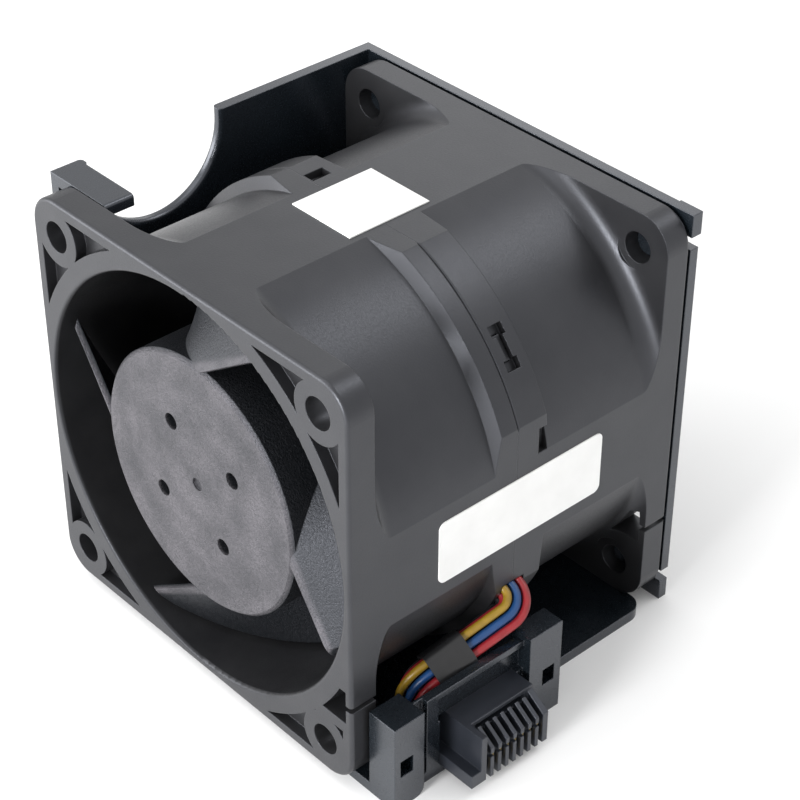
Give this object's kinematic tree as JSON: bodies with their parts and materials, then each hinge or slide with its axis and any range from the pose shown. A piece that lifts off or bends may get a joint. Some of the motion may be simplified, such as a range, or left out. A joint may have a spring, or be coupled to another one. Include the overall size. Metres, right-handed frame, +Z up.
{
  "type": "server cooling fan",
  "caption": "Square counter-rotating server cooling fan in a black hot-swap carrier, with flanged frame halves, impellers in line, plain labels and a side plug-in connector.",
  "frame": {"origin": "centre of the front flange's outer face, on the axis of both rotors", "axes": "+X to the connector side, +Y from the front face to the rear along the rotors' axis, +Z up, away from the carrier's base"},
  "size_m": [0.0715, 0.058, 0.0618],
  "materials": {
    "frame_plastic": "glass-filled moulding, fine texture, satin",
    "carrier_plastic": "smooth black moulding",
    "impeller_plastic": "glass-filled grey moulding with a mottled skin",
    "label_paper": "plain white label",
    "connector_plastic": "black connector moulding",
    "contact_metal": "plated spring metal",
    "steel": "bare steel",
    "magnet": "sintered ferrite",
    "tube_brass": "turned brass",
    "core_steel": "laminated electrical steel",
    "insulator_plastic": "natural nylon",
    "copper": "enamelled copper wire",
    "board": "green solder resist",
    "lead_red": "soft insulation",
    "lead_black": "soft insulation",
    "lead_yellow": "soft insulation",
    "lead_blue": "soft insulation",
    "sleeve_black": "shrink sleeve"
  },
  "bodies": {
    "housing": {"carrier": "carrier_plastic", "front_frame": "frame_plastic", "rear_frame": "frame_plastic", "front_bearings": "steel", "front_bearing_tube": "tube_brass", "front_stator_core": "core_steel", "front_stator_insulator": "insulator_plastic", "front_coil_windings": "copper", "front_circuit_board": "board", "rear_bearings": "steel", "rear_bearing_tube": "tube_brass", "rear_stator_core": "core_steel", "rear_stator_insulator": "insulator_plastic", "rear_coil_windings": "copper", "rear_circuit_board": "board", "side_label": "label_paper", "top_label": "label_paper", "connector_housing": "connector_plastic", "connector_contacts": "contact_metal", "red_leads": "lead_red", "black_leads": "lead_black", "yellow_leads": "lead_yellow", "blue_leads": "lead_blue", "lead_sleeve": "sleeve_black"},
    "front_rotor": {"front_impeller": "impeller_plastic", "front_rotor_cup": "steel", "front_magnet_ring": "magnet", "front_shaft": "steel", "front_retaining_clip": "steel", "front_preload_washer": "steel"},
    "rear_rotor": {"rear_impeller": "impeller_plastic", "rear_rotor_cup": "steel", "rear_magnet_ring": "magnet", "rear_shaft": "steel", "rear_retaining_clip": "steel", "rear_preload_washer": "steel"}
  },
  "joints": [
    {"name": "front_spin", "type": "hinge", "parent": "housing", "child": "front_rotor", "pos_m": [0, 0.012, 0], "axis": [0, 1, 0], "continuous": true},
    {"name": "rear_spin", "type": "hinge", "parent": "housing", "child": "rear_rotor", "pos_m": [0, 0.042, 0], "axis": [0, -1, 0], "continuous": true}
  ]
}
